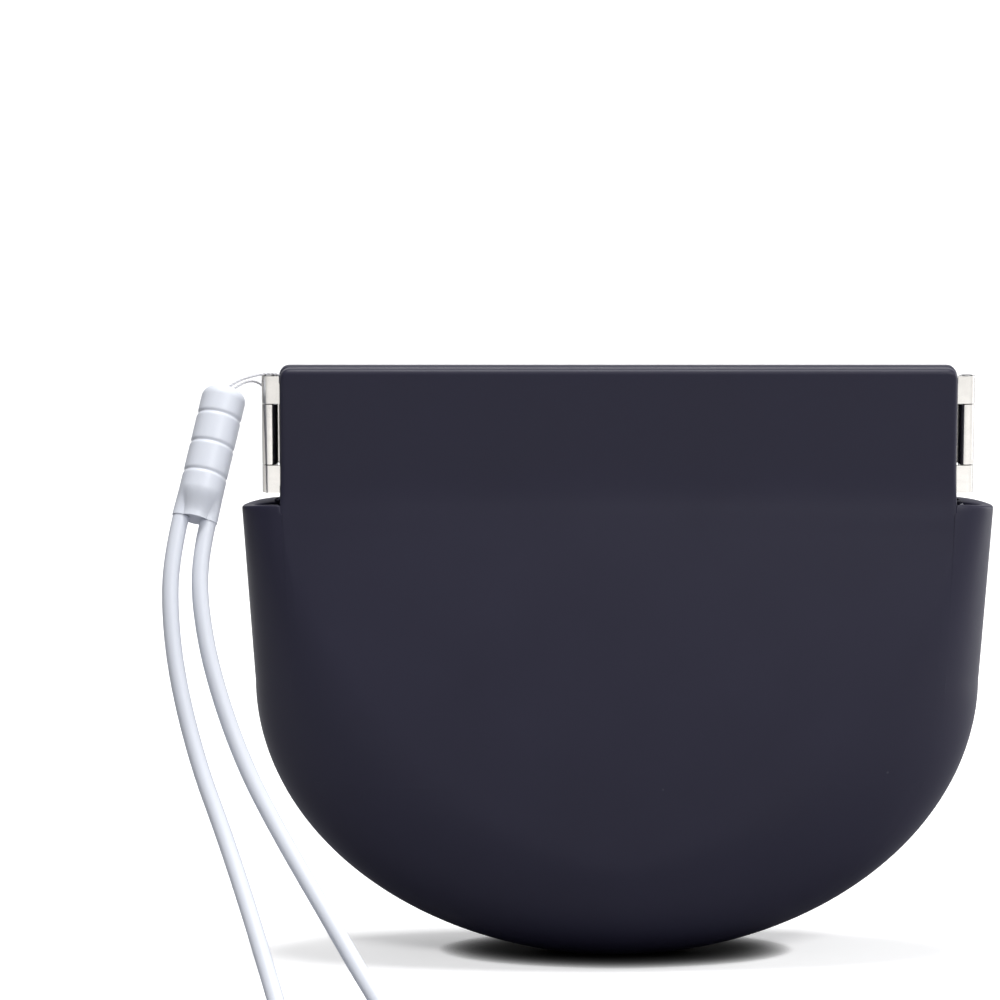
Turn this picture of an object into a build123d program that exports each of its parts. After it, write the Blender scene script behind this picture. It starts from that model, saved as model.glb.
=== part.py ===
"""Retainer case: a soft moulded pouch with a squeeze-open spring mouth and a wrist lanyard."""
import os
from math import acos, cos, pi, sin, sqrt, tan

from build123d import *

os.makedirs("parts", exist_ok=True)

# The case stands upright on its round bottom, front towards -Y, and all sizes are millimetres.
# The silicone flexes when the mouth opens, so its hem and walls are made as short segments.

# Pouch form
shoulder_height = 64.0
shoulder_depth = 4.0
round_height = 39.2
side_half = 50.8
shoulder_flare = 1.7
shoulder_half = side_half + shoulder_flare
belly_height = 14.0
belly_depth = 12.8
foot_cut = 0.5
taper_power = 1.5
wall = 2.0
ridge_share = 0.92
low_panel_share = 0.35
high_panel_share = 0.85
panel_spread_height = 20.0
low_sections = 5
high_sections = 5
first_lift = 0.3

# Hem round the mouth, and the folds between its segments
hem_height = 19.0
hem_set_in = 3.8
hem_half = side_half - hem_set_in
back_set_in = 0.8
back_hem_half = hem_half - back_set_in
hem_depth = 3.0
mouth_gap = 0.3
hem_corner = 1.4
fold_x = 16.0
fold_gap = 1.0
rim_height = 36.0
side_gap = 0.5
rest_gap = 0.3

# Spring strips, knuckles and hinge pins
pin_reach = 1.5
pin_x = hem_half + pin_reach
pin_radius = 0.5
bore_clearance = 0.25
barrel_radius = 1.1
strip_thick = 0.4
strip_margin = 1.0
slot_clearance = 0.1
hinge_lift = 1.9
hinge_foot = shoulder_height + hinge_lift
hinge_length = 16.4
hinge_top = hinge_foot + hinge_length
end_knuckle = 4.0
knuckle_gap = 0.15
neck_reach = 2.5

# Lanyard bead, hanging from the top of the left hinge
hitch = Vector(-pin_x, 0, hinge_top)
bead_foot = hitch + Vector(-10.4, -10.0, -18.6)
bead_top = hitch + Vector(-6.5, -1.0, -1.9)
bead_radius = 2.95
bead_foot_round = 0.7
bead_top_round = 1.6
groove_radius = 0.7
groove_depth = 0.35
groove_step = 4.3
groove_count = 3

# Cords
cord_radius = 1.15
strand_offset = 1.75
bead_lead = 4.0
table_clearance = 0.05
thread_radius = 0.25
arc_share = 0.45


def half_width(height, inset):
    """Half width of the pouch at a height, drawn in by the inset."""
    if height >= round_height:
        rise = (height - round_height) / (shoulder_height - round_height)
        return side_half - inset + (shoulder_half - side_half) * rise
    reach = (round_height - height) / (round_height + foot_cut - inset)
    return (side_half - inset) * sqrt(1 - reach**2)


def half_depth(height, inset):
    """Half thickness of the pouch at a height, drawn in by the inset."""
    if height >= belly_height:
        rise = (height - belly_height) / (shoulder_height - belly_height)
        return shoulder_depth - inset + (belly_depth - shoulder_depth) * (1 - rise**taper_power)
    reach = (belly_height - height) / (belly_height + foot_cut - inset)
    return (belly_depth - inset) * sqrt(1 - reach**2)


def panel_share(height):
    """Share of the half width that the flatter middle panel takes up."""
    rise = max(0.0, (height - panel_spread_height) / (shoulder_height - panel_spread_height))
    return low_panel_share + (high_panel_share - low_panel_share) * rise


def form_section(height, inset):
    """Outline at a height: two crowned panels, joined by rounder sides that meet at a seam."""
    wide = half_width(height, inset)
    deep = half_depth(height, inset)
    ridge = wide * panel_share(height)
    edge = deep * ridge_share
    with BuildSketch(Plane.XY.offset(height)) as section:
        with BuildLine():
            for side in (-1, 1):
                ThreePointArc((-ridge, side * edge), (0, side * deep), (ridge, side * edge))
                for hand in (-1, 1):
                    TangentArc((hand * ridge, side * edge), (hand * wide, 0), tangent=(hand, 0))
        make_face()
    return section.sketch


def form_levels(inset):
    """Heights of the sections, closer together where the bottom curls under."""
    drop = belly_height + foot_cut - inset
    lowest = 0.0 if inset == 0 else inset - foot_cut + first_lift
    first_turn = acos((belly_height - lowest) / drop)
    low_step = (pi / 2 - first_turn) / low_sections
    high_step = (shoulder_height - belly_height) / high_sections
    low = [belly_height - drop * cos(first_turn + low_step * n) for n in range(low_sections)]
    high = [belly_height + high_step * n for n in range(high_sections + 1)]
    return low + high


def block(low, high, mode=Mode.ADD):
    """A block between two corners, in the part that is being built."""
    middle = [(a + b) / 2 for a, b in zip(low, high)]
    with Locations(tuple(middle)):
        Box(*[b - a for a, b in zip(low, high)], mode=mode)


def on_side(side, near, far):
    """Two distances from the middle plane, in rising order on the given side."""
    return sorted((side * near, side * far))


def corner_radii(points):
    """The largest arc that each corner's two runs allow."""
    radii = []
    for before, corner, after in zip(points, points[1:], points[2:]):
        run_in, run_out = corner - before, after - corner
        half_turn = run_in.get_angle(run_out) * pi / 360
        radii.append(arc_share * min(run_in.length, run_out.length) / tan(half_turn))
    return radii


def tube(points, radius, label):
    """A tube of straight runs joined by tangent arcs, with its volume compared with its length."""
    radii = corner_radii(points)
    with BuildPart() as cord:
        with BuildLine() as route:
            FilletPolyline(*points, radius=radii)
        path = route.wire()
        with BuildSketch(Plane(origin=path @ 0, z_dir=path % 0)):
            Circle(radius)
        sweep(path=path)
    length = path.length
    ideal = pi * radius**2 * length
    print(label, "length", round(length, 1), "volume share", round(cord.part.volume / ideal, 4))
    print(label, "arc radii", [round(r, 1) for r in radii])
    cord.part.label = label
    return cord.part


def save(part, name):
    """Name a finished piece and write it to its own file."""
    part.label = name
    export_step(part, f"parts/{name}.step")


# Silicone shell: one moulding, cut into a belly and wall segments that part as the mouth opens
top = shoulder_height + hem_height
with BuildPart() as shell:
    loft([form_section(height, 0) for height in form_levels(0)])
    loft([form_section(height, wall) for height in form_levels(wall)], mode=Mode.SUBTRACT)

with BuildPart() as pouch_belly:
    add(shell.part)
    block(
        (-hem_half, -belly_depth, rim_height),
        (hem_half, belly_depth, shoulder_height),
        Mode.SUBTRACT,
    )
    block(
        (-shoulder_half, -belly_depth, shoulder_height - rest_gap),
        (shoulder_half, belly_depth, shoulder_height),
        Mode.SUBTRACT,
    )
save(pouch_belly.part, "pouch_belly")

# Segments of the hem and walls: each half folds from its hinge, and the middle moves out flat
fold_in = fold_x - fold_gap / 2
fold_out = fold_x + fold_gap / 2
strip_foot = hinge_foot + strip_margin
strip_top = hinge_top - strip_margin
leaf_near = barrel_radius - strip_thick
leaf_far = barrel_radius
leaf_end = pin_x - neck_reach

# The front strip holds the two end knuckles of each hinge, the back strip the middle one
knuckle_edges = [0, end_knuckle, hinge_length - end_knuckle, hinge_length]
knuckle_spans = {
    "front": [
        (hinge_foot + knuckle_edges[0], hinge_foot + knuckle_edges[1] - knuckle_gap),
        (hinge_foot + knuckle_edges[2] + knuckle_gap, hinge_foot + knuckle_edges[3]),
    ],
    "back": [(hinge_foot + knuckle_edges[1], hinge_foot + knuckle_edges[2])],
}
faces = {"front": (-1, hem_half), "back": (1, back_hem_half)}

for face, (side, hem_end) in faces.items():
    wall_y = on_side(side, 0, belly_depth)
    hem_y = on_side(side, mouth_gap / 2, hem_depth)
    slot_y = on_side(side, leaf_near - slot_clearance, leaf_far + slot_clearance)
    leaf_y = on_side(side, leaf_near, leaf_far)

    for name, hand in (("left", -1), ("middle", 0), ("right", 1)):
        wall_x = on_side(hand, fold_out, hem_half - side_gap) if hand else (-fold_in, fold_in)
        hem_x = on_side(hand, fold_out, hem_end) if hand else (-fold_in, fold_in)
        leaf_x = on_side(hand, fold_out, leaf_end) if hand else (-fold_in, fold_in)

        with BuildPart() as wall_segment:
            add(shell.part)
            block(
                (wall_x[0], wall_y[0], rim_height + rest_gap),
                (wall_x[1], wall_y[1], shoulder_height),
                Mode.INTERSECT,
            )
        save(wall_segment.part, f"{face}_{name}_wall")

        with BuildPart() as hem_segment:
            block((hem_x[0], hem_y[0], shoulder_height), (hem_x[1], hem_y[1], top))
            if hand:
                upright = hem_segment.edges().filter_by(Axis.Y).group_by(Axis.Z)[-1]
                fillet(upright.sort_by(Axis.X)[-1 if hand > 0 else 0], hem_corner)
            block(
                (hem_x[0], slot_y[0], strip_foot - slot_clearance),
                (hem_x[1], slot_y[1], strip_top + slot_clearance),
                Mode.SUBTRACT,
            )
        save(hem_segment.part, f"{face}_{name}_hem")

        with BuildPart() as strip_segment:
            block((leaf_x[0], leaf_y[0], strip_foot), (leaf_x[1], leaf_y[1], strip_top))
            if hand:
                neck_x = on_side(hand, leaf_end, pin_x)
                for foot, head in knuckle_spans[face]:
                    neck_foot, neck_head = max(foot, strip_foot), min(head, strip_top)
                    block((neck_x[0], leaf_y[0], neck_foot), (neck_x[1], leaf_y[1], neck_head))
                    with BuildSketch(Plane.XY.offset(foot)):
                        with Locations((hand * pin_x, 0)):
                            Circle(barrel_radius)
                    extrude(amount=head - foot)
                with BuildSketch(Plane.XY.offset(hinge_foot)):
                    with Locations((hand * pin_x, 0)):
                        Circle(pin_radius + bore_clearance)
                extrude(amount=hinge_length, mode=Mode.SUBTRACT)
        save(strip_segment.part, f"{face}_{name}_strip")

# Hinge pins
for name, hand in (("left", -1), ("right", 1)):
    with BuildPart() as hinge_pin:
        with BuildSketch(Plane.XY.offset(hinge_foot)):
            with Locations((hand * pin_x, 0)):
                Circle(pin_radius)
        extrude(amount=hinge_length)
    save(hinge_pin.part, f"{name}_hinge_pin")

# Lanyard bead: a soft barrel with a rounded top and shallow rings round it
bead_length = (bead_top - bead_foot).length
along = (bead_top - bead_foot).normalized()
across = Vector(0, 1, 0).cross(along).normalized()
bead_plane = Plane(origin=bead_foot, x_dir=across, z_dir=across.cross(along))
bead_axis = Axis(bead_foot, along)
with BuildPart() as lanyard_bead:
    with BuildSketch(bead_plane):
        Rectangle(bead_radius, bead_length, align=(Align.MIN, Align.MIN))
    revolve(axis=bead_axis)
    fillet(lanyard_bead.faces().sort_by(bead_axis)[0].edges(), bead_foot_round)
    fillet(lanyard_bead.faces().sort_by(bead_axis)[-1].edges(), bead_top_round)
    with BuildSketch(bead_plane):
        for ring in range(groove_count):
            reach = bead_radius + groove_radius - groove_depth
            with Locations((reach, bead_length - groove_step * (ring + 1))):
                Circle(groove_radius)
    revolve(axis=bead_axis, mode=Mode.SUBTRACT)
save(lanyard_bead.part, "lanyard_bead")

# Thread: from the bead's top over the upper knuckle, down behind it and back to the bead
thread_offsets = [
    (-7.0, -1.1, -3.1),
    (-6.7, -1.0, -1.2),
    (-5.1, -0.9, 0.2),
    (-2.4, -0.5, 0.7),
    (0.0, -0.1, 0.7),
    (1.55, 0.5, 0.1),
    (1.55, 1.2, -1.4),
    (0.6, 1.9, -2.5),
    (-1.0, 2.0, -1.7),
    (-2.4, 1.0, -0.3),
    (-4.3, -0.2, 0.0),
    (-5.9, -0.7, -1.2),
    (-6.0, -0.8, -2.7),
]
thread_points = [hitch + Vector(*offset) for offset in thread_offsets]
save(tube(thread_points, thread_radius, "thread_loop"), "thread_loop")

# Wrist cord: down the left side, forward over the table, and back up as a second strand.
# Hanging points are set off from the bead's foot in plan, at shares of its height.
left_exit = bead_foot - across * strand_offset
right_exit = bead_foot + across * strand_offset
lead = along * -bead_lead
left_drop = [
    (-2.8, -5.0, 0.85),
    (-1.7, -9.0, 0.693),
    (1.5, -14.0, 0.514),
    (5.4, -20.0, 0.38),
    (9.3, -28.5, 0.243),
    (13.0, -38.0, 0.107),
]
table_loop = [
    (15.9, -48.0),
    (17.9, -61.0),
    (18.7, -76.0),
    (20.5, -91.0),
    (25.4, -103.5),
    (34.4, -109.5),
    (43.4, -104.5),
    (47.9, -93.0),
    (45.9, -79.5),
    (39.9, -65.5),
    (32.5, -51.0),
]
right_drop = [
    (1.3, -5.0, 0.844),
    (3.2, -9.0, 0.693),
    (7.6, -14.0, 0.514),
    (12.9, -20.0, 0.38),
    (19.4, -28.5, 0.243),
    (26.0, -38.0, 0.107),
]
plan = Vector(bead_foot.X, bead_foot.Y, 0)
table_lift = cord_radius + table_clearance
down = [plan + Vector(x, y, share * bead_foot.Z) for x, y, share in left_drop]
loop = [plan + Vector(x, y, table_lift) for x, y in table_loop]
up = [plan + Vector(x, y, share * bead_foot.Z) for x, y, share in reversed(right_drop)]
cord_points = [left_exit, left_exit + lead, *down, *loop, *up, right_exit + lead, right_exit]
save(tube(cord_points, cord_radius, "wrist_cord"), "wrist_cord")
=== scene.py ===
"""Looks of the retainer case: soft pouch, spring hinges, lanyard and studio."""
import math

import bmesh
import bpy
import numpy as np
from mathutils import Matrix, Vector


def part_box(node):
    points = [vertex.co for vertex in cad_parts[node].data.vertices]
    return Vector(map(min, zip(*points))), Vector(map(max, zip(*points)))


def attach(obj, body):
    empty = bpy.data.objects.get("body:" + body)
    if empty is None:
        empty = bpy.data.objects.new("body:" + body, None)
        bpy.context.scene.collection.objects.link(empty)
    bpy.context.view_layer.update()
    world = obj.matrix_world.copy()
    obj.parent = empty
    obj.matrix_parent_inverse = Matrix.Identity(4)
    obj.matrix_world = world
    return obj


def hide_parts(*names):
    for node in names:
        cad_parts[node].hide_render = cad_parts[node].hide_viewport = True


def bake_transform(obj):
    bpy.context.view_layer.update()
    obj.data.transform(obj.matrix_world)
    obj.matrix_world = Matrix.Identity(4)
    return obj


bl_info = {
    "name": "Retainer Case Looks",
    "version": (1, 0, 0),
    "blender": (4, 5, 0),
    "location": "View3D > Sidebar > Retainer Case",
    "description": "Builds the visible pieces of a squeeze-open retainer case around its frame",
    "category": "Object",
}

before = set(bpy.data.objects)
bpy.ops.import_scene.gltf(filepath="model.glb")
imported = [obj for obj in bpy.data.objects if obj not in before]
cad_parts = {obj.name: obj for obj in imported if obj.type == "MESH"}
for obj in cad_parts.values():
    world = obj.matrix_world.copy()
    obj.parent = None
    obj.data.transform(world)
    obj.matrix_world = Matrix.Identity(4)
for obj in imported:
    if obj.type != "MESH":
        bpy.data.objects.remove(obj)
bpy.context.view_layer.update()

MM = 0.001
QUARTER = math.pi / 2
FACES = ("front", "back")
SEGMENTS = ("left", "middle", "right")

# Places read from the frame
hem_low, hem_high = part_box("front_left_hem")
strip_low, strip_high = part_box("front_left_strip")

# How the scene's pouch differs from the modelled hem
TOP_RISE = 0.0005
BACK_HEM_SPREAD = 0.0002

# Pouch panel: a flatter middle that rolls over at a soft ridge
PANEL_CENTRE = 0.062
PANEL_HALF = 0.0465
PANEL_DROP = 0.047
PANEL_POWER = 1.55
ROLL_POWER = 1.6
CROWN = 0.05

# Seams between the pouch's skins, which overlap by the lap, one a tuck below the other
BLEND_FOOT = 0.026
LAP = 0.0018
LAP_GAP = 0.0002
LAP_SINK = 0.0004
TUCK = 0.00006
SEAM = 0.00003

# Hem and shoulder lips
HEM_EASE = 0.0065
HEM_ROUND = 0.0008
SLEEVE_FOOT = 0.001
EDGE_ROUND = 0.0007
CORNER_ROUND = 0.0014
LIP_LIFT = 0.0007
LIP_ROUND = 0.0004
SHARP_ANGLE = math.radians(32)

# Hinge: the end knuckles' plates
KNUCKLE_HEIGHT = 0.00385
ROOT_REACH = 0.0008
ROOT_MIDDLE = -0.0009
ROOT_WIDE = 0.0013
ROOT_THICK = 0.00042

# Thread plies, as shares of the thread's diameter, and the length of one twist
PLY_RADIUS = 0.30
PLY_OFFSET = 0.186
LAY_LENGTH = 0.0011

# Bead
BEAD_FOOT_ROUND = 0.0007
BEAD_TOP_ROUND = 0.0016
RING_STEP = 0.0043
RING_WIDTH = 0.00026
RING_DEPTH = 0.00016
LOBE_OFFSET = 0.0019
LOBE_RADIUS = 0.00125
LOBE_WAIST = 0.0021
LOBE_HEIGHT = 0.0042
DIMPLE_DEPTH = 0.0005
BEAD_SPOKES = 96

# Cord routes in millimetres, as the modelled tubes have them
hitch = Vector((-48.5, 0.0, 82.3))
bead_foot = hitch + Vector((-10.4, -10.0, -18.6))
bead_top = hitch + Vector((-6.5, -1.0, -1.9))
along = (bead_top - bead_foot).normalized()
across = Vector((0, 1, 0)).cross(along).normalized()
bead_shift = Vector((0.5, 0.0, 0.0))
left_exit = bead_foot + bead_shift - across * 1.9
right_exit = bead_foot + bead_shift + across * 1.9
lead = along * -4.0
table_lift = 1.2
left_drop = [
    (-2.8, -5.0, 0.85),
    (-1.7, -9.0, 0.693),
    (1.5, -14.0, 0.514),
    (5.4, -20.0, 0.38),
    (9.3, -28.5, 0.243),
    (13.0, -38.0, 0.107),
]
table_loop = [
    (15.9, -48.0),
    (17.9, -61.0),
    (18.7, -76.0),
    (20.5, -91.0),
    (25.4, -103.5),
    (34.4, -109.5),
    (43.4, -104.5),
    (47.9, -93.0),
    (45.9, -79.5),
    (39.9, -65.5),
    (32.5, -51.0),
]
right_drop = [
    (1.3, -5.0, 0.844),
    (3.2, -9.0, 0.693),
    (7.6, -14.0, 0.514),
    (12.9, -20.0, 0.38),
    (19.4, -28.5, 0.243),
    (26.0, -38.0, 0.107),
]
plan = Vector((bead_foot.x, bead_foot.y, 0.0))
down = [plan + Vector((x, y, share * bead_foot.z)) for x, y, share in left_drop]
loop = [plan + Vector((x, y, table_lift)) for x, y in table_loop]
up = [plan + Vector((x, y, share * bead_foot.z)) for x, y, share in reversed(right_drop)]
cord_route = [left_exit, left_exit + lead, *down, *loop, *up, right_exit + lead, right_exit]
thread_route = [
    (-54.9, -1.1, 78.8),
    (-54.6, -1.0, 80.4),
    (-52.9, -0.9, 81.6),
    (-50.7, -0.6, 82.3),
    (-48.5, -0.1, 82.6),
    (-46.95, 0.5, 82.3),
    (-46.95, 1.2, 80.9),
    (-47.9, 1.9, 79.6),
    (-49.4, 2.0, 80.5),
    (-50.8, 0.9, 81.5),
    (-52.5, -0.2, 81.1),
    (-53.9, -0.7, 80.1),
    (-54.3, -0.8, 78.9),
]

# Camera, measured from the photograph
PIXELS_PER_METRE = 7160.0
PICTURE_PIXELS = 1000.0
MIDDLE_PIXEL = 617.7
FOOT_PIXEL = 957.0
ELEVATION = math.radians(9.5)
DISTANCE = 0.60
SENSOR = 36.0

# Studio
WORLD_STRENGTH = 0.34
AIM = (0, 0, 0.04)
LAMPS = (
    ("Key Lamp", (0.35, -0.60, 0.60), (0.25, 0.25), 3.2),
    ("Side Lamp", (0.75, 0.20, 0.20), (0.3, 0.6), 4.5),
    ("Top Lamp", (0.0, 0.02, 0.9), (0.25, 0.25), 6.5),
)
FLOOR_GLOW = 0.35
CONTACT_REACH = 0.0044
CONTACT_POWER = 3.6
MIRROR_FADE = (0.05, 0.30)
MIRROR_SIDE = (-1.0, -0.45)
BRIGHT_STRIP = ((-0.30, -0.12), (0.45, 0.25))
FLOOR_HALF = 1.6
FLOOR_NEAR = -1.2
FLOOR_FAR = 0.9
FLOOR_TALL = 1.6
FLOOR_BEND = 0.4


def linear(red, green, blue):
    """A display colour, 0 to 255, as the linear colour that a shader reads."""
    channels = []
    for value in (red, green, blue):
        share = value / 255.0
        low = share / 12.92
        high = ((share + 0.055) / 1.055) ** 2.4
        channels.append(low if share <= 0.04045 else high)
    return (*channels, 1.0)


class RetainerCaseForm(bpy.types.PropertyGroup):
    """Sizes of the soft pouch."""

    shoulder_height: bpy.props.FloatProperty(
        name="Shoulder height", description="Table to the shoulders beside the mouth",
        default=0.064, unit="LENGTH")
    shoulder_half: bpy.props.FloatProperty(
        name="Shoulder half width", description="Half width across the shoulders",
        default=0.0525, unit="LENGTH")
    shoulder_depth: bpy.props.FloatProperty(
        name="Shoulder half depth", description="Half thickness at the shoulders",
        default=0.004, unit="LENGTH")
    round_height: bpy.props.FloatProperty(
        name="Round height", description="Height where the sides begin to round in",
        default=0.0392, unit="LENGTH")
    side_half: bpy.props.FloatProperty(
        name="Side half width", description="Half width where the round bottom begins",
        default=0.0508, unit="LENGTH")
    belly_height: bpy.props.FloatProperty(
        name="Belly height", description="Height of the thickest place",
        default=0.014, unit="LENGTH")
    belly_depth: bpy.props.FloatProperty(
        name="Belly half depth", description="Half thickness at the belly",
        default=0.0128, unit="LENGTH")
    foot_cut: bpy.props.FloatProperty(
        name="Foot flat", description="How far the round bottom settles flat on the table",
        default=0.0005, unit="LENGTH")
    wall: bpy.props.FloatProperty(
        name="Wall", description="Thickness of the silicone", default=0.002, unit="LENGTH")
    top: bpy.props.FloatProperty(
        name="Height", description="Table to the top of the mouth",
        default=hem_high.z + TOP_RISE, unit="LENGTH")
    hem_half: bpy.props.FloatProperty(
        name="Hem half width", description="Half width of the hem round the mouth",
        default=-hem_low.x, unit="LENGTH")
    back_hem_half: bpy.props.FloatProperty(
        name="Back hem half width", description="Half width of the back hem",
        default=BACK_HEM_SPREAD - hem_low.x, unit="LENGTH")
    hem_depth: bpy.props.FloatProperty(
        name="Hem depth", description="Front face of the hem to the middle plane",
        default=-hem_low.y, unit="LENGTH")
    mouth_half: bpy.props.FloatProperty(
        name="Mouth half gap", description="Inner face of the hem to the middle plane",
        default=-hem_high.y, unit="LENGTH")
    fold: bpy.props.FloatProperty(
        name="Fold", description="Where the walls fold beside the middle",
        default=0.016, unit="LENGTH")


class RetainerCaseLanyard(bpy.types.PropertyGroup):
    """Sizes of the lanyard."""

    cord_thick: bpy.props.FloatProperty(
        name="Cord diameter", description="Diameter of the wrist cord",
        default=0.0023, unit="LENGTH")
    thread_thick: bpy.props.FloatProperty(
        name="Thread diameter", description="Diameter of the thread over the hinge",
        default=0.0004, unit="LENGTH")
    bead_radius: bpy.props.FloatProperty(
        name="Bead radius", description="Radius of the lanyard bead",
        default=0.00308, unit="LENGTH")


class RetainerCaseColours(bpy.types.PropertyGroup):
    """Colours of the finishes."""

    silicone: bpy.props.FloatVectorProperty(
        name="Pouch", description="Dark matt silicone", subtype="COLOR", size=4,
        default=linear(38, 37, 54))
    dust: bpy.props.FloatVectorProperty(
        name="Dust", description="Stray specks on the pouch", subtype="COLOR", size=4,
        default=linear(112, 112, 122))
    lanyard: bpy.props.FloatVectorProperty(
        name="Lanyard", description="White silicone", subtype="COLOR", size=4,
        default=linear(222, 226, 235))
    steel: bpy.props.FloatVectorProperty(
        name="Hinge steel", description="Bright plated steel", subtype="COLOR", size=4,
        default=linear(214, 211, 206))
    # Painted shade: the dark grey that the steel's colour turns to at its edges
    steel_painted_shade: bpy.props.FloatVectorProperty(
        name="Steel painted shade", description="Steel seen along its surface", subtype="COLOR", size=4,
        default=linear(60, 60, 64))
    thread: bpy.props.FloatVectorProperty(
        name="Thread", description="Twisted nylon thread", subtype="COLOR", size=4,
        default=linear(232, 232, 236))
    floor: bpy.props.FloatVectorProperty(
        name="Floor", description="Studio floor and backdrop", subtype="COLOR", size=4,
        default=linear(250, 250, 251))
    floor_bounce: bpy.props.FloatVectorProperty(
        name="Floor bounce", description="Floor as it lights the case", subtype="COLOR", size=4,
        default=linear(150, 150, 156))
    floor_dark: bpy.props.FloatVectorProperty(
        name="Dark floor", description="Floor beside the bright strip", subtype="COLOR", size=4,
        default=linear(40, 40, 44))


def form():
    return bpy.context.scene.retainer_form


def lanyard():
    return bpy.context.scene.retainer_lanyard


def colours():
    return bpy.context.scene.retainer_colours


# Node helpers

def feed(tree, socket, value):
    """Links a socket to an output, or gives it a plain value."""
    if isinstance(value, bpy.types.NodeSocket):
        tree.links.new(value, socket)
    else:
        socket.default_value = value


def add_node(tree, kind, **values):
    """A node, with its attributes set and its sockets fed by name."""
    node = tree.nodes.new(kind)
    for key, value in values.items():
        if hasattr(node, key):
            setattr(node, key, value)
        else:
            feed(tree, node.inputs[key.replace("_", " ")], value)
    return node


def maths(tree, operation, *values):
    """The output of a maths node fed with outputs or plain values."""
    node = add_node(tree, "ShaderNodeMath", operation=operation)
    for socket, value in zip(node.inputs, values):
        feed(tree, socket, value)
    return node.outputs["Value"]


def tinted(tree, share, base, low, high):
    """A colour that wanders between two strengths of a base colour."""
    weak = [channel * low for channel in base[:3]] + [1.0]
    full = [channel * high for channel in base[:3]] + [1.0]
    mix = add_node(tree, "ShaderNodeMix", data_type="RGBA", Factor=share, A=weak, B=full)
    return mix.outputs["Result"]


def new_material(name):
    """A material with its tree and its shader."""
    material = bpy.data.materials.new(name)
    material.use_nodes = True
    tree = material.node_tree
    return material, tree, tree.nodes["Principled BSDF"]


# Finishes

def matt_grain_group():
    """Fine moulded grain: a height to bump, a roughness, dust specks and a slow cloud."""
    group = bpy.data.node_groups.new("Matt Moulded Grain", "ShaderNodeTree")
    for name in ("Grain Scale", "Speck Scale", "Roughness"):
        group.interface.new_socket(name, in_out="INPUT", socket_type="NodeSocketFloat")
    for name in ("Height", "Roughness", "Specks", "Cloud"):
        group.interface.new_socket(name, in_out="OUTPUT", socket_type="NodeSocketFloat")
    source = group.nodes.new("NodeGroupInput").outputs
    place = group.nodes.new("ShaderNodeTexCoord").outputs["Object"]
    grain = add_node(
        group, "ShaderNodeTexNoise", Detail=3.0, Roughness=0.6, Vector=place,
        Scale=source["Grain Scale"])
    specks = add_node(
        group, "ShaderNodeTexVoronoi", Vector=place, Scale=source["Speck Scale"])
    cloud = add_node(group, "ShaderNodeTexNoise", Scale=55.0, Detail=2.0, Vector=place)
    dot = add_node(
        group, "ShaderNodeMapRange", From_Min=0.10, From_Max=0.03,
        Value=specks.outputs["Distance"])
    pick = maths(group, "GREATER_THAN", specks.outputs["Color"], 0.90)
    add_node(
        group, "NodeGroupOutput",
        Height=grain.outputs["Fac"],
        Roughness=maths(group, "MULTIPLY_ADD", cloud.outputs["Fac"], 0.12, source["Roughness"]),
        Specks=maths(group, "MULTIPLY", dot.outputs["Result"], pick),
        Cloud=cloud.outputs["Fac"])


def grained(tree, shader, grain_scale, speck_scale, roughness, strength, depth):
    """Places the grain group and bumps the shader with it."""
    grain = add_node(
        tree, "ShaderNodeGroup", node_tree=bpy.data.node_groups["Matt Moulded Grain"],
        Grain_Scale=grain_scale, Speck_Scale=speck_scale, Roughness=roughness)
    bump = add_node(
        tree, "ShaderNodeBump", Strength=strength, Distance=depth,
        Height=grain.outputs["Height"])
    feed(tree, shader.inputs["Normal"], bump.outputs["Normal"])
    feed(tree, shader.inputs["Roughness"], grain.outputs["Roughness"])
    return grain.outputs


def silicone_material():
    """Dark silicone: matt, a little cloudy, with stray specks of dust."""
    material, tree, shader = new_material("Pouch Silicone")
    grain = grained(tree, shader, 2600.0, 420.0, 0.42, 0.12, 0.00006)
    cloudy = tinted(tree, grain["Cloud"], colours().silicone, 0.9, 1.12)
    share = maths(tree, "MULTIPLY", grain["Specks"], 0.35)
    dusty = add_node(
        tree, "ShaderNodeMix", data_type="RGBA", Factor=share, A=cloudy, B=colours().dust)
    feed(tree, shader.inputs["Base Color"], dusty.outputs["Result"])
    feed(tree, shader.inputs["Specular IOR Level"], 0.25)
    return material


def lanyard_material():
    """White silicone, softer and brighter than the pouch."""
    material, tree, shader = new_material("Lanyard Silicone")
    grain = grained(tree, shader, 1800.0, 500.0, 0.38, 0.10, 0.00005)
    cloudy = tinted(tree, grain["Cloud"], colours().lanyard, 0.95, 1.0)
    feed(tree, shader.inputs["Base Color"], cloudy)
    feed(tree, shader.inputs["Subsurface Weight"], 0.15)
    feed(tree, shader.inputs["Subsurface Radius"], (0.002, 0.002, 0.0022))
    feed(tree, shader.inputs["Specular IOR Level"], 0.4)
    return material


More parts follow.
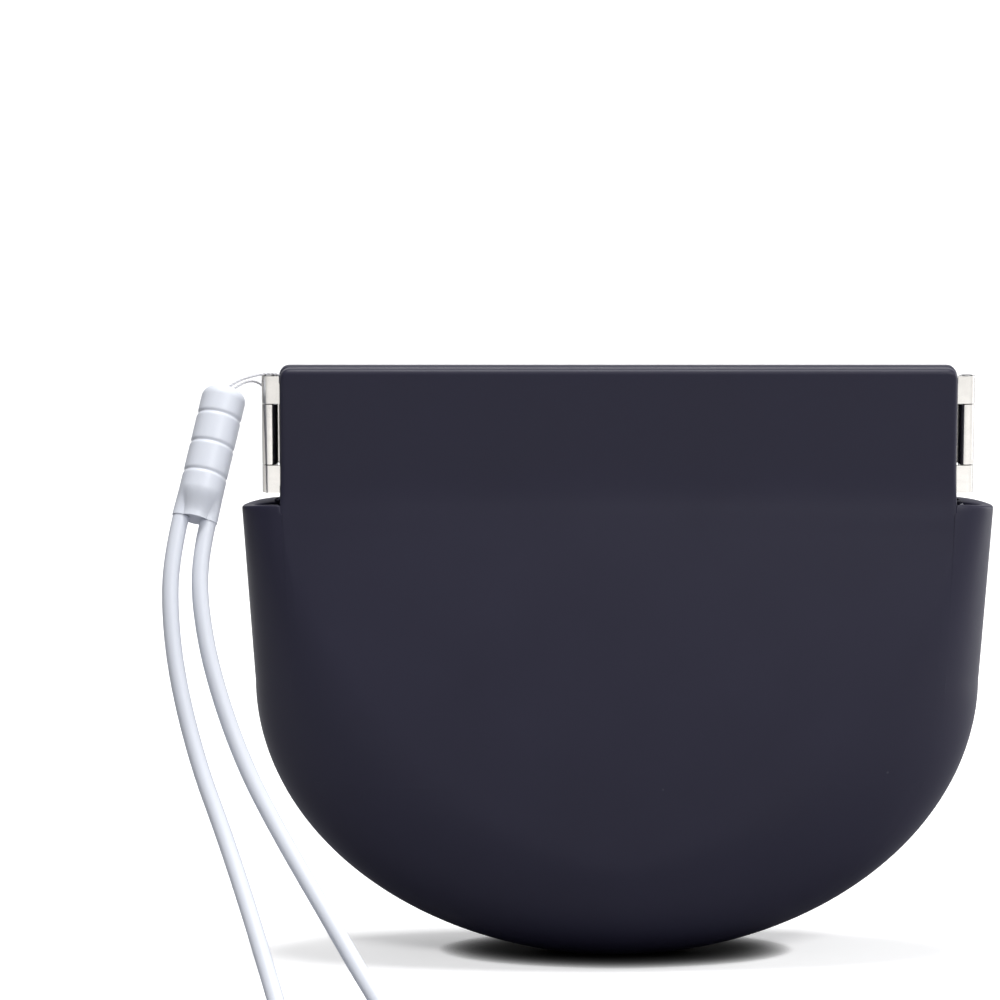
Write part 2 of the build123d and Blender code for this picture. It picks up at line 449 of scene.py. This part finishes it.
def steel_material(name, roughness, line_scale):
    """Plated steel with fine lines along the strip, painted darker where it turns away: a painted
    shade at its edges.
    """
    material, tree, shader = new_material(name)
    place = tree.nodes.new("ShaderNodeTexCoord")
    spread = add_node(
        tree, "ShaderNodeMapping", Vector=place.outputs["Object"],
        Scale=(300.0, 6000.0, line_scale))
    lines = add_node(
        tree, "ShaderNodeTexNoise", Scale=1.0, Detail=3.0, Vector=spread.outputs["Vector"])
    vary = add_node(
        tree, "ShaderNodeMapRange", To_Min=roughness - 0.05, To_Max=roughness + 0.10,
        Value=lines.outputs["Fac"])
    bump = add_node(
        tree, "ShaderNodeBump", Strength=0.06, Distance=0.00003, Height=lines.outputs["Fac"])
    # Painted shade: the steel's colour goes to a dark grey where its surface turns away from the
    # view
    painted_edge_shade = add_node(tree, "ShaderNodeLayerWeight", Blend=0.42)
    shade = add_node(
        tree, "ShaderNodeMix", data_type="RGBA", Factor=painted_edge_shade.outputs["Facing"],
        A=colours().steel, B=colours().steel_painted_shade)
    feed(tree, shader.inputs["Base Color"], shade.outputs["Result"])
    feed(tree, shader.inputs["Roughness"], vary.outputs["Result"])
    feed(tree, shader.inputs["Normal"], bump.outputs["Normal"])
    feed(tree, shader.inputs["Metallic"], 1.0)
    return material


def thread_material():
    """Nylon thread, with fine fibres along it."""
    material, tree, shader = new_material("Lanyard Thread")
    place = tree.nodes.new("ShaderNodeTexCoord")
    fibres = add_node(
        tree, "ShaderNodeTexNoise", Scale=9000.0, Detail=2.0, Vector=place.outputs["Object"])
    bump = add_node(
        tree, "ShaderNodeBump", Strength=0.3, Distance=0.00004, Height=fibres.outputs["Fac"])
    fibrous = tinted(tree, fibres.outputs["Fac"], colours().thread, 0.8, 1.0)
    feed(tree, shader.inputs["Base Color"], fibrous)
    feed(tree, shader.inputs["Normal"], bump.outputs["Normal"])
    feed(tree, shader.inputs["Roughness"], 0.55)
    feed(tree, shader.inputs["Sheen Weight"], 0.2)
    return material


def material_of(name):
    """A finish by name, made the first time it is asked for."""
    makers = {
        "Pouch Silicone": silicone_material,
        "Lanyard Silicone": lanyard_material,
        "Hinge Steel": lambda: steel_material("Hinge Steel", 0.16, 900.0),
        "Spring Steel": lambda: steel_material("Spring Steel", 0.28, 6000.0),
        "Lanyard Thread": thread_material,
    }
    if "Matt Moulded Grain" not in bpy.data.node_groups:
        matt_grain_group()
    return bpy.data.materials.get(name) or makers[name]()


# Pouch form

def half_width(z):
    """Half width of the pouch at a height."""
    size = form()
    if z >= size.round_height:
        rise = (z - size.round_height) / (size.shoulder_height - size.round_height)
        return size.side_half + (size.shoulder_half - size.side_half) * min(rise, 1.0)
    reach = (size.round_height - z) / (size.round_height + size.foot_cut)
    return size.side_half * math.sqrt(max(1 - reach**2, 0.0))


def half_depth(z):
    """Half thickness of the panel's middle at a height above the belly's thickest place."""
    size = form()
    rise = min((z - size.belly_height) / (size.shoulder_height - size.belly_height), 1.0)
    return size.shoulder_depth + (size.belly_depth - size.shoulder_depth) * (1 - rise**1.5)


known_outline = []


def outline():
    """Distances from the panel's centre to the outline, by the angle from straight down."""
    if not known_outline:
        foot = form().foot_cut
        heights = np.linspace(-foot, PANEL_CENTRE, 600)
        wide = np.array([half_width(max(z, -foot + 1e-9)) for z in heights])
        drops = PANEL_CENTRE - heights
        known_outline.append((np.arctan2(wide, drops), np.hypot(wide, drops)))
    return known_outline[0]


def wall_depth(x, z, inset):
    """Distance of the wall from the middle plane."""
    deep = half_depth(max(z, form().belly_height))
    if z >= PANEL_CENTRE:
        wide = half_width(z)
        out = (abs(x) - PANEL_HALF) / (wide - PANEL_HALF)
        aside = abs(x) / wide
    else:
        angle = math.atan2(abs(x), PANEL_CENTRE - z)
        reach = math.hypot(x, PANEL_CENTRE - z)
        angles, reaches = outline()
        edge = float(np.interp(angle, angles, reaches))
        fall = (math.cos(angle) / PANEL_DROP) ** PANEL_POWER
        side = (math.sin(angle) / PANEL_HALF) ** PANEL_POWER
        ridge = (fall + side) ** (-1 / PANEL_POWER)
        out = (reach - ridge) / (edge - ridge)
        aside = abs(x) / PANEL_HALF
    out = min(max(out, 0.0), 1.0)
    roll = math.sqrt(1 - out**ROLL_POWER)
    return max(deep * roll * (1 - CROWN * min(aside, 1.0) ** 2) - inset, 0.0)


def ease(low, high, value):
    """A smooth step from 0 to 1 between two values."""
    share = min(max((value - low) / (high - low), 0.0), 1.0)
    return share * share * (3 - 2 * share)


def spaced(start, end, count):
    """Even steps from a start to an end, both among them."""
    return [start + (end - start) * n / count for n in range(count + 1)]


# Meshes

def grid_mesh(rows, closed_rows=False, keep=None):
    """A mesh from rows of points, each row as long, with the faces that keep() allows."""
    bm = bmesh.new()
    verts = [[bm.verts.new(point) for point in row] for row in rows]
    count = len(rows[0])
    for r in range(len(rows) - 1):
        for c in range(count if closed_rows else count - 1):
            if keep and not keep(r, c):
                continue
            d = (c + 1) % count
            bm.faces.new((verts[r][c], verts[r][d], verts[r + 1][d], verts[r + 1][c]))
    return bm, verts


def finish_mesh(bm, name):
    """Merges doubles, drops loose points, turns faces outwards and smooths them."""
    bmesh.ops.remove_doubles(bm, verts=bm.verts, dist=1e-7)
    loose = [vert for vert in bm.verts if not vert.link_faces]
    bmesh.ops.delete(bm, geom=loose, context="VERTS")
    bmesh.ops.recalc_face_normals(bm, faces=bm.faces)
    for face in bm.faces:
        face.smooth = True
    mesh = bpy.data.meshes.new(name)
    bm.to_mesh(mesh)
    bm.free()
    mesh.set_sharp_from_angle(angle=SHARP_ANGLE)
    return mesh


def new_piece(name, mesh, material):
    """A finished piece in the scene, at the origin, with one finish."""
    piece = bpy.data.objects.new(name, mesh)
    bpy.context.scene.collection.objects.link(piece)
    mesh.materials.clear()
    mesh.materials.append(material_of(material))
    return piece


def baked_mesh(piece):
    """A plain mesh of an object with its modifiers applied."""
    graph = bpy.context.evaluated_depsgraph_get()
    return bpy.data.meshes.new_from_object(piece.evaluated_get(graph))


def round_lips(piece, above):
    """Rounds the sharp lips of the shoulders."""
    bm = bmesh.new()
    bm.from_mesh(piece.data)
    lips = []
    for edge in bm.edges:
        sharp = len(edge.link_faces) == 2 and edge.calc_face_angle(0.0) > 0.9
        if sharp and min(vert.co.z for vert in edge.verts) > above:
            lips.append(edge)
    bmesh.ops.bevel(bm, geom=lips, offset=LIP_ROUND, segments=3, profile=0.5, affect="EDGES")
    for face in bm.faces:
        face.smooth = True
    bm.to_mesh(piece.data)
    bm.free()
    piece.data.set_sharp_from_angle(angle=SHARP_ANGLE)


# Pouch

def belly_ring(edge, low_edge):
    """Shares of the half width round the pouch, with the side that each is on."""
    front_turns, tip_turns = 40, 14
    half = [low_edge * math.sin(QUARTER * n / front_turns) for n in range(front_turns)]
    half += [low_edge, edge - 0.0005, edge]
    half += [edge + (1 - edge) * math.sin(QUARTER * n / tip_turns) for n in range(1, tip_turns + 1)]
    ring = [(share, -1) for share in half]
    ring += [(share, 1) for share in reversed(half[:-1])]
    ring += [(-share, 1) for share in half[1:]]
    ring += [(-share, -1) for share in reversed(half[1:-1])]
    return ring


def belly_heights():
    """Heights of the pouch's rows, and how many of them go all the way round."""
    size = form()
    bowl_steps, rise_steps, gusset_steps = 26, 12, 40
    drop = size.belly_height + size.foot_cut
    first = math.acos(size.belly_height / drop)
    turns = [first + (QUARTER - first) * n / bowl_steps for n in range(bowl_steps)]
    heights = [size.belly_height - drop * math.cos(turn) for turn in turns]
    heights += spaced(size.belly_height, BLEND_FOOT, rise_steps)
    whole_rows = len(heights)
    heights += [BLEND_FOOT + 0.0003] + spaced(BLEND_FOOT, size.shoulder_height, gusset_steps)[1:]
    return heights, whole_rows


def belly_piece():
    """Bowl and both gussets, as one skin that stays still."""
    size = form()
    edge = (size.hem_half - LAP_GAP) / size.shoulder_half
    low_edge = edge - LAP / size.shoulder_half
    ring = belly_ring(edge, low_edge)
    heights, whole_rows = belly_heights()
    rows = []
    for r, z in enumerate(heights):
        row = []
        climb = max(z - BLEND_FOOT, 0.0) / (size.shoulder_height - BLEND_FOOT)
        for share, side in ring:
            x = share * half_width(z)
            out = min(max((abs(share) - edge) / (1 - edge), 0.0), 1.0)
            if r >= whole_rows and abs(share) < edge - 0.0001:
                inset, lift = TUCK + LAP_SINK * climb**4, 0.0
            else:
                inset, lift = 0.0, LIP_LIFT * (1 - out**2) * climb**6
            row.append((x, side * wall_depth(x, z, inset), z + lift))
        rows.append(row)

    def keep(r, c):
        if r + 1 < whole_rows:
            return True
        d = (c + 1) % len(ring)
        return min(abs(ring[c][0]), abs(ring[d][0])) >= low_edge - 1e-9

    bm, verts = grid_mesh(rows, True, keep)
    middle = bm.verts.new((0.0, 0.0, 0.0))
    foot = verts[0]
    for c, vert in enumerate(foot):
        bm.faces.new((foot[(c + 1) % len(ring)], vert, middle))
    piece = new_piece("pouch_base", finish_mesh(bm, "pouch_base"), "Pouch Silicone")
    solid = piece.modifiers.new("Wall", "SOLIDIFY")
    solid.thickness = size.wall
    solid.offset = -1.0
    mesh = baked_mesh(piece)
    piece.modifiers.clear()
    piece.data = mesh
    round_lips(piece, size.shoulder_height - 0.0008)
    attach(piece, "root")
    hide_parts("pouch_belly")


def skin_loop(x, side, end, hem_end, slim):
    """Points round one slice of a wall and its hem, from the bottom up outside and down inside."""
    size = form()
    share = x / size.shoulder_half
    low = BLEND_FOOT - LAP
    reach = max(hem_end - abs(x), 0.0) if end else 1.0
    shrink = drop = 0.0
    if reach < EDGE_ROUND:
        shrink = EDGE_ROUND - math.sqrt(max(EDGE_ROUND**2 - (EDGE_ROUND - reach) ** 2, 0.0))
    if reach < CORNER_ROUND:
        drop = CORNER_ROUND - math.sqrt(max(CORNER_ROUND**2 - (CORNER_ROUND - reach) ** 2, 0.0))
    shoulder = size.shoulder_height
    top = size.top - drop - slim
    front = size.hem_depth - shrink - slim
    back = size.mouth_half + shrink * 0.4 + slim
    points = []
    wall_top = 0.0
    for z in [low, BLEND_FOOT - 0.00002] + spaced(BLEND_FOOT, shoulder, 42):
        inset = max(TUCK if z < BLEND_FOOT - 1e-6 else 0.0, slim)
        wall_x = share * half_width(z)
        wall_top = wall_depth(wall_x, z, inset)
        points.append((wall_x, wall_top, z))
    for n in range(1, 13):
        z = shoulder + HEM_EASE * n / 12
        points.append((x, front + (wall_top - front) * (1 - n / 12) ** 2, z))
    for z in spaced(shoulder + HEM_EASE, top - HEM_ROUND, 8)[1:]:
        points.append((x, front, z))
    for turn in spaced(0.0, QUARTER, 6)[1:]:
        y = front - HEM_ROUND * (1 - math.cos(turn))
        points.append((x, y, top - HEM_ROUND * (1 - math.sin(turn))))
    for turn in spaced(0.0, QUARTER, 6):
        y = back + HEM_ROUND * (1 - math.sin(turn))
        points.append((x, y, top - HEM_ROUND * (1 - math.cos(turn))))
    for z in spaced(top - HEM_ROUND, shoulder + SLEEVE_FOOT, 8)[1:]:
        points.append((x, back, z))
    for z in spaced(shoulder - 0.0004, low, 44):
        wall_x = share * half_width(z)
        points.append((wall_x, max(wall_depth(wall_x, z, size.wall - slim), 0.0004), z))
    return [(px, side * py, pz) for px, py, pz in points]


def wall_skin(face, name):
    """One segment of a wall with its hem."""
    size = form()
    side = -1 if face == "front" else 1
    hand = {"left": -1, "middle": 0, "right": 1}[name]
    hem_end = size.hem_half if face == "front" else size.back_hem_half
    if hand == 0:
        stations = [(size.fold * (n / 12 - 1), False) for n in range(25)]
    else:
        near = [size.fold - LAP, size.fold - SEAM]
        spread = spaced(size.fold, hem_end - CORNER_ROUND, 24)
        tail = [hem_end - CORNER_ROUND * (1 - math.sin(QUARTER * n / 10)) for n in range(1, 11)]
        stations = [(hand * x, True) for x in near + spread + tail]
    rows = []
    for x, end in stations:
        slim = TUCK if end and abs(x) < size.fold - 0.00001 else 0.0
        rows.append(skin_loop(x, side, end, hem_end, slim))
    bm, verts = grid_mesh(rows, True)
    bm.faces.new(verts[0])
    bm.faces.new(list(reversed(verts[-1])))
    body = f"{face}_{name}"
    piece = new_piece(f"{body}_skin", finish_mesh(bm, f"{body}_skin"), "Pouch Silicone")
    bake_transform(piece)
    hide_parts(f"{body}_wall", f"{body}_hem")


# Hinges

def steel_pieces():
    """Finishes for the strips, knuckles and pins, which keep their modelled shape."""
    for name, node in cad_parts.items():
        if name.endswith("_strip"):
            finish = "Spring Steel" if "middle" in name else "Hinge Steel"
        elif name.endswith("_hinge_pin"):
            finish = "Hinge Steel"
        else:
            continue
        node.data.materials.clear()
        node.data.materials.append(material_of(finish))


def knuckle_roots():
    """Short plates that carry the end knuckles of the front strip at their full height."""
    feet = (strip_low.z, strip_high.z - KNUCKLE_HEIGHT)
    for name, hand in (("left", -1), ("right", 1)):
        bm = bmesh.new()
        for foot in feet:
            x = hand * (form().hem_half + ROOT_REACH)
            centre = Vector((x, ROOT_MIDDLE, foot + KNUCKLE_HEIGHT / 2))
            spread = Vector((ROOT_WIDE, ROOT_THICK, KNUCKLE_HEIGHT))
            for vert in bmesh.ops.create_cube(bm, size=1.0)["verts"]:
                vert.co = Vector([a * b for a, b in zip(vert.co, spread)]) + centre
        mesh = finish_mesh(bm, f"{name}_knuckle_roots")
        piece = new_piece(f"{name}_knuckle_roots", mesh, "Hinge Steel")
        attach(piece, f"front_{name}")


# Lanyard

def smooth_route(name, route, radius, steps):
    """A smooth round tube whose control points are a route in millimetres."""
    curve = bpy.data.curves.new(name, "CURVE")
    curve.dimensions = "3D"
    spline = curve.splines.new("NURBS")
    spline.points.add(len(route) - 1)
    for point, place in zip(spline.points, route):
        point.co = (*(value * MM for value in place), 1.0)
    spline.order_u = 3
    spline.use_endpoint_u = True
    spline.resolution_u = steps
    curve.bevel_depth = radius
    curve.bevel_resolution = 7
    curve.use_fill_caps = True
    piece = bpy.data.objects.new(name, curve)
    bpy.context.scene.collection.objects.link(piece)
    return piece


def cord_piece():
    """The wrist cord: one free loop from the bead and back to it."""
    thick = lanyard().cord_thick
    piece = smooth_route("wrist_cord_loop", cord_route, thick / 2, 12)
    piece.data.materials.append(material_of("Lanyard Silicone"))
    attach(piece, "lanyard")
    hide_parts("wrist_cord")


def twisted_thread_tree(material):
    """Geometry nodes that lay two twisted plies along a curve."""
    tree = bpy.data.node_groups.new("Twisted Thread", "GeometryNodeTree")
    face = tree.interface
    face.new_socket("Path", in_out="INPUT", socket_type="NodeSocketGeometry")
    for name in ("Ply Radius", "Ply Offset", "Lay Length"):
        face.new_socket(name, in_out="INPUT", socket_type="NodeSocketFloat")
    face.new_socket("Thread", in_out="OUTPUT", socket_type="NodeSocketGeometry")
    source = tree.nodes.new("NodeGroupInput").outputs
    normal = tree.nodes.new("GeometryNodeInputNormal").outputs["Normal"]
    ahead = tree.nodes.new("GeometryNodeInputTangent").outputs["Tangent"]
    travelled = tree.nodes.new("GeometryNodeSplineParameter").outputs["Length"]
    line = add_node(tree, "GeometryNodeResampleCurve", mode="EVALUATED", Curve=source["Path"])
    ring = add_node(
        tree, "GeometryNodeCurvePrimitiveCircle", Resolution=8, Radius=source["Ply Radius"])
    twists = maths(tree, "DIVIDE", travelled, source["Lay Length"])
    join = tree.nodes.new("GeometryNodeJoinGeometry")
    for start in (0.0, math.pi):
        turn = maths(tree, "MULTIPLY_ADD", twists, 2 * math.pi, start)
        aside = add_node(tree, "ShaderNodeVectorRotate", Vector=normal, Axis=ahead, Angle=turn)
        step = add_node(
            tree, "ShaderNodeVectorMath", operation="SCALE", Vector=aside.outputs["Vector"],
            Scale=source["Ply Offset"])
        ply = add_node(
            tree, "GeometryNodeSetPosition", Geometry=line.outputs["Curve"],
            Offset=step.outputs["Vector"])
        sweep = add_node(
            tree, "GeometryNodeCurveToMesh", Curve=ply.outputs["Geometry"],
            Profile_Curve=ring.outputs["Curve"], Fill_Caps=True)
        feed(tree, join.inputs["Geometry"], sweep.outputs["Mesh"])
    plain = add_node(tree, "GeometryNodeRealizeInstances", Geometry=join.outputs["Geometry"])
    finish = add_node(
        tree, "GeometryNodeSetMaterial", Geometry=plain.outputs["Geometry"], Material=material)
    add_node(tree, "NodeGroupOutput", Thread=finish.outputs["Geometry"])
    return tree


def thread_piece():
    """The thread over the left hinge, laid up from two twisted plies."""
    thick = lanyard().thread_thick
    path = smooth_route("thread_path", thread_route, 0.0, 24)
    twist = path.modifiers.new("Twist", "NODES")
    twist.node_group = twisted_thread_tree(material_of("Lanyard Thread"))
    sizes = {
        "Ply Radius": thick * PLY_RADIUS,
        "Ply Offset": thick * PLY_OFFSET,
        "Lay Length": LAY_LENGTH,
    }
    for item in twist.node_group.interface.items_tree:
        if item.name in sizes:
            twist[item.identifier] = sizes[item.name]
    bm = bmesh.new()
    bm.from_mesh(baked_mesh(path))
    path.modifiers.clear()
    bpy.data.objects.remove(path)
    mesh = finish_mesh(bm, "thread_over_hinge")
    piece = new_piece("thread_over_hinge", mesh, "Lanyard Thread")
    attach(piece, "lanyard")
    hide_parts("thread_loop")


def bead_profile():
    """The bead's radius and height, from its foot to its top, with three shallow rings."""
    radius = lanyard().bead_radius
    length = (bead_top - bead_foot).length * MM
    cap = length - BEAD_TOP_ROUND
    profile = []
    for turn in spaced(0.0, QUARTER, 6):
        reach = radius - BEAD_FOOT_ROUND * (1 - math.sin(turn))
        profile.append((reach, BEAD_FOOT_ROUND * (1 - math.cos(turn))))
    for height in spaced(BEAD_FOOT_ROUND, cap, 200)[1:]:
        dent = 0.0
        for ring in (1, 2, 3):
            away = abs(height - (length - RING_STEP * ring)) / RING_WIDTH
            dent += RING_DEPTH * math.exp(-away * away)
        profile.append((radius - dent, height))
    for turn in spaced(0.0, QUARTER, 12)[1:]:
        reach = radius - BEAD_TOP_ROUND * (1 - math.cos(turn))
        profile.append((reach, cap + BEAD_TOP_ROUND * math.sin(turn)))
    return profile, length


def bead_piece():
    """The bead: a soft barrel whose foot parts into two lobes, one for each strand."""
    profile, length = bead_profile()
    forward = across.cross(along)
    origin = (bead_foot + bead_shift) * MM
    rows = []
    for reach, height in profile:
        full = ease(0.0004, LOBE_HEIGHT, height)
        row = []
        for k in range(BEAD_SPOKES):
            spin = 2 * math.pi * k / BEAD_SPOKES
            inside = max(LOBE_RADIUS**2 - (LOBE_OFFSET * math.sin(spin)) ** 2, 0.0)
            lobe = max(LOBE_OFFSET * abs(math.cos(spin)) + math.sqrt(inside), LOBE_WAIST)
            spread = across * math.cos(spin) + forward * math.sin(spin)
            row.append(origin + along * height + spread * (reach * full + lobe * (1 - full)))
        rows.append(row)
    bm, verts = grid_mesh(rows, True)
    tip = bm.verts.new(origin + along * length)
    dimple = bm.verts.new(origin + along * DIMPLE_DEPTH)
    for k in range(BEAD_SPOKES):
        m = (k + 1) % BEAD_SPOKES
        bm.faces.new((verts[-1][k], verts[-1][m], tip))
        bm.faces.new((verts[0][m], verts[0][k], dimple))
    mesh = finish_mesh(bm, "lanyard_bead_skin")
    piece = new_piece("lanyard_bead_skin", mesh, "Lanyard Silicone")
    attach(piece, "lanyard")
    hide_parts("lanyard_bead")


# Camera and studio

def camera_piece():
    """Camera at the photograph's viewing angle."""
    data = bpy.data.cameras.new("Product Camera")
    camera = bpy.data.objects.new("Product Camera", data)
    bpy.context.scene.collection.objects.link(camera)
    aim_x = -(MIDDLE_PIXEL - PICTURE_PIXELS / 2) / PIXELS_PER_METRE
    aim_z = (FOOT_PIXEL - PICTURE_PIXELS / 2) / PIXELS_PER_METRE / math.cos(ELEVATION)
    back = Vector((0, -math.cos(ELEVATION), math.sin(ELEVATION))) * DISTANCE
    camera.location = Vector((aim_x, 0, aim_z)) + back
    camera.rotation_euler = (math.pi / 2 - ELEVATION, 0, 0)
    data.sensor_width = SENSOR
    data.lens = SENSOR * DISTANCE / (PICTURE_PIXELS / PIXELS_PER_METRE)
    data.clip_start = 0.01
    bpy.context.scene.camera = camera


def area_lamp(name, place, size, power):
    """A soft lamp that looks at the case."""
    data = bpy.data.lights.new(name, "AREA")
    data.shape = "RECTANGLE"
    data.size, data.size_y = size
    data.energy = power
    lamp = bpy.data.objects.new(name, data)
    bpy.context.scene.collection.objects.link(lamp)
    lamp.location = place
    lamp.rotation_euler = (Vector(AIM) - Vector(place)).to_track_quat("-Z", "Y").to_euler()


def pale_material():
    """Pale floor and backdrop: plain white to the camera, dimmer as it lights the case."""
    material, tree, shader = new_material("Studio Floor")
    seen = tree.nodes.new("ShaderNodeLightPath").outputs
    place = tree.nodes.new("ShaderNodeTexCoord").outputs["Object"]
    aside = add_node(tree, "ShaderNodeSeparateXYZ", Vector=place).outputs["X"]

    def fade(value, start, end, kind="LINEAR"):
        node = add_node(
            tree, "ShaderNodeMapRange", interpolation_type=kind,
            From_Min=start, From_Max=end, Value=value)
        return node.outputs["Result"]

    # The floor bounces most light from a strip in the middle
    strip = maths(tree, "MULTIPLY", *(fade(aside, *ends, "SMOOTHSTEP") for ends in BRIGHT_STRIP))
    bounce = add_node(
        tree, "ShaderNodeMix", data_type="RGBA", Factor=strip,
        A=colours().floor_dark, B=colours().floor_bounce)
    # Reflections see it pale, apart from near the case and far to its left
    reach = add_node(tree, "ShaderNodeVectorMath", operation="LENGTH", Vector=place)
    away = fade(reach.outputs["Value"], *MIRROR_FADE)
    mirrored = maths(tree, "MULTIPLY", away, fade(aside, *MIRROR_SIDE))
    mirrored = maths(tree, "MULTIPLY", mirrored, seen["Is Glossy Ray"])
    pale = maths(tree, "MAXIMUM", seen["Is Camera Ray"], mirrored)
    shade = add_node(
        tree, "ShaderNodeMix", data_type="RGBA", Factor=pale,
        A=bounce.outputs["Result"], B=colours().floor)
    # Contact shadow
    near = add_node(tree, "ShaderNodeAmbientOcclusion", samples=16, Distance=CONTACT_REACH)
    contact = maths(tree, "POWER", near.outputs["AO"], CONTACT_POWER)
    shaded = add_node(
        tree, "ShaderNodeMix", data_type="RGBA", blend_type="MULTIPLY", Factor=1.0,
        A=shade.outputs["Result"], B=contact)
    glow = maths(tree, "MULTIPLY", maths(tree, "MULTIPLY", pale, FLOOR_GLOW), contact)
    feed(tree, shader.inputs["Base Color"], shaded.outputs["Result"])
    feed(tree, shader.inputs["Roughness"], 0.9)
    feed(tree, shader.inputs["Specular IOR Level"], 0.1)
    feed(tree, shader.inputs["Emission Strength"], glow)
    feed(tree, shader.inputs["Emission Color"], (1.0, 1.0, 1.0, 1.0))
    return material


def studio_pieces():
    """Floor with a raised back, lamps and the pale surround."""
    line = [(FLOOR_NEAR, 0.0), (FLOOR_FAR - FLOOR_BEND, 0.0)]
    for turn in spaced(0.0, QUARTER, 12)[1:]:
        y = FLOOR_FAR - FLOOR_BEND + FLOOR_BEND * math.sin(turn)
        line.append((y, FLOOR_BEND - FLOOR_BEND * math.cos(turn)))
    line.append((FLOOR_FAR, FLOOR_TALL))
    bm, _ = grid_mesh([[(x, y, z) for x in (-FLOOR_HALF, FLOOR_HALF)] for y, z in line])
    mesh = finish_mesh(bm, "studio_floor")
    floor = bpy.data.objects.new("studio_floor", mesh)
    bpy.context.scene.collection.objects.link(floor)
    mesh.materials.append(pale_material())
    world = bpy.data.worlds.new("Studio")
    bpy.context.scene.world = world
    world.use_nodes = True
    back = world.node_tree.nodes["Background"]
    back.inputs["Color"].default_value = (1.0, 1.0, 1.0, 1.0)
    back.inputs["Strength"].default_value = WORLD_STRENGTH
    for name, place, size, power in LAMPS:
        area_lamp(name, place, size, power)


# Operators and panel

class RETAINER_OT_pouch(bpy.types.Operator):
    """Builds the pouch's base and its six wall segments"""

    bl_idname = "retainer.pouch"
    bl_label = "Pouch"

    def execute(self, context):
        belly_piece()
        for face in FACES:
            for name in SEGMENTS:
                wall_skin(face, name)
        return {"FINISHED"}


class RETAINER_OT_hinges(bpy.types.Operator):
    """Finishes the spring strips, knuckles and pins"""

    bl_idname = "retainer.hinges"
    bl_label = "Hinges"

    def execute(self, context):
        steel_pieces()
        knuckle_roots()
        return {"FINISHED"}


class RETAINER_OT_lanyard(bpy.types.Operator):
    """Builds the bead, the thread and the wrist cord"""

    bl_idname = "retainer.lanyard"
    bl_label = "Lanyard"

    def execute(self, context):
        bead_piece()
        thread_piece()
        cord_piece()
        return {"FINISHED"}


class RETAINER_OT_stage(bpy.types.Operator):
    """Sets the camera, the lamps, the floor and the view"""

    bl_idname = "retainer.stage"
    bl_label = "Stage"

    def execute(self, context):
        camera_piece()
        studio_pieces()
        context.scene.view_settings.view_transform = "Standard"
        return {"FINISHED"}


class RETAINER_PT_panel(bpy.types.Panel):
    """Lists the pieces and their sizes"""

    bl_idname = "RETAINER_PT_panel"
    bl_label = "Retainer Case"
    bl_space_type = "VIEW_3D"
    bl_region_type = "UI"
    bl_category = "Retainer Case"

    def draw(self, context):
        column = self.layout.column()
        for operator in OPERATORS:
            column.operator(operator.bl_idname)
        for group in (form(), lanyard(), colours()):
            for name in group.__annotations__:
                column.prop(group, name)


GROUPS = {
    "retainer_form": RetainerCaseForm,
    "retainer_lanyard": RetainerCaseLanyard,
    "retainer_colours": RetainerCaseColours,
}
OPERATORS = (RETAINER_OT_stage, RETAINER_OT_pouch, RETAINER_OT_hinges, RETAINER_OT_lanyard)


def register():
    for name, group in GROUPS.items():
        bpy.utils.register_class(group)
        setattr(bpy.types.Scene, name, bpy.props.PointerProperty(type=group))
    for cls in (*OPERATORS, RETAINER_PT_panel):
        bpy.utils.register_class(cls)


def unregister():
    for cls in (RETAINER_PT_panel, *reversed(OPERATORS)):
        bpy.utils.unregister_class(cls)
    for name, group in GROUPS.items():
        delattr(bpy.types.Scene, name)
        bpy.utils.unregister_class(group)


def main():
    register()
    bpy.ops.retainer.stage()
    bpy.ops.retainer.pouch()
    bpy.ops.retainer.hinges()
    bpy.ops.retainer.lanyard()


if __name__ == "__main__":
    main()
